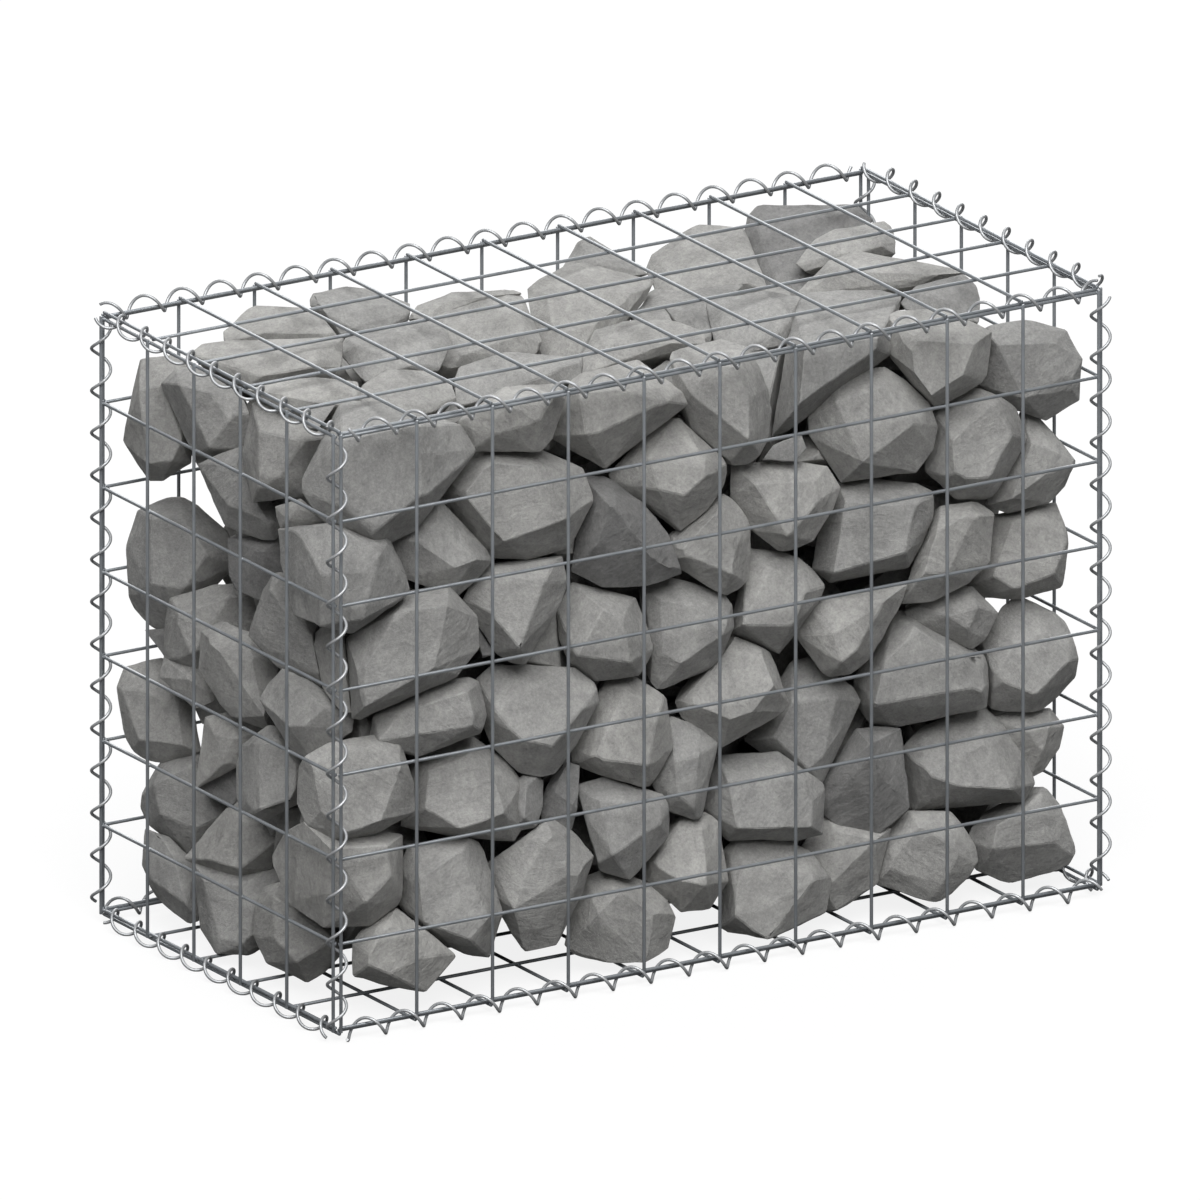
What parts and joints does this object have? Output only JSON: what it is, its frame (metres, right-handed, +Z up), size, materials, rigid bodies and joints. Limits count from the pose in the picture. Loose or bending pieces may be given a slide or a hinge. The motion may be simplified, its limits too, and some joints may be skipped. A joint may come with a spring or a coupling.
{
  "type": "gabion wall",
  "caption": "Free-standing gabion wall unit: a welded wire mesh basket laced along its edges with spiral binders and filled with rough quarry stone.",
  "frame": {"origin": "middle of the footprint, on the ground under the lowest coils", "axes": "+X along the wall, +Y through the wall from the front to the back, +Z up"},
  "size_m": [1.0382, 0.5382, 0.733],
  "materials": {
    "galvanised_mesh": "satin",
    "galvanised_spiral": "bright",
    "quarry_stone": "rough"
  },
  "bodies": {
    "root": {"front_mesh": "galvanised_mesh", "back_mesh": "galvanised_mesh", "left_end_mesh": "galvanised_mesh", "right_end_mesh": "galvanised_mesh", "base_mesh": "galvanised_mesh", "lid_mesh": "galvanised_mesh", "binder_front_left": "galvanised_spiral", "binder_front_right": "galvanised_spiral", "binder_back_left": "galvanised_spiral", "binder_back_right": "galvanised_spiral", "binder_top_front": "galvanised_spiral", "binder_top_back": "galvanised_spiral", "binder_top_left": "galvanised_spiral", "binder_top_right": "galvanised_spiral", "binder_bottom_front": "galvanised_spiral", "binder_bottom_back": "galvanised_spiral", "binder_bottom_left": "galvanised_spiral", "binder_bottom_right": "galvanised_spiral", "stones_course_1": "quarry_stone", "stones_course_2": "quarry_stone", "stones_course_3": "quarry_stone", "stones_course_4": "quarry_stone", "stones_course_5": "quarry_stone", "stones_course_6": "quarry_stone"}
  },
  "joints": []
}
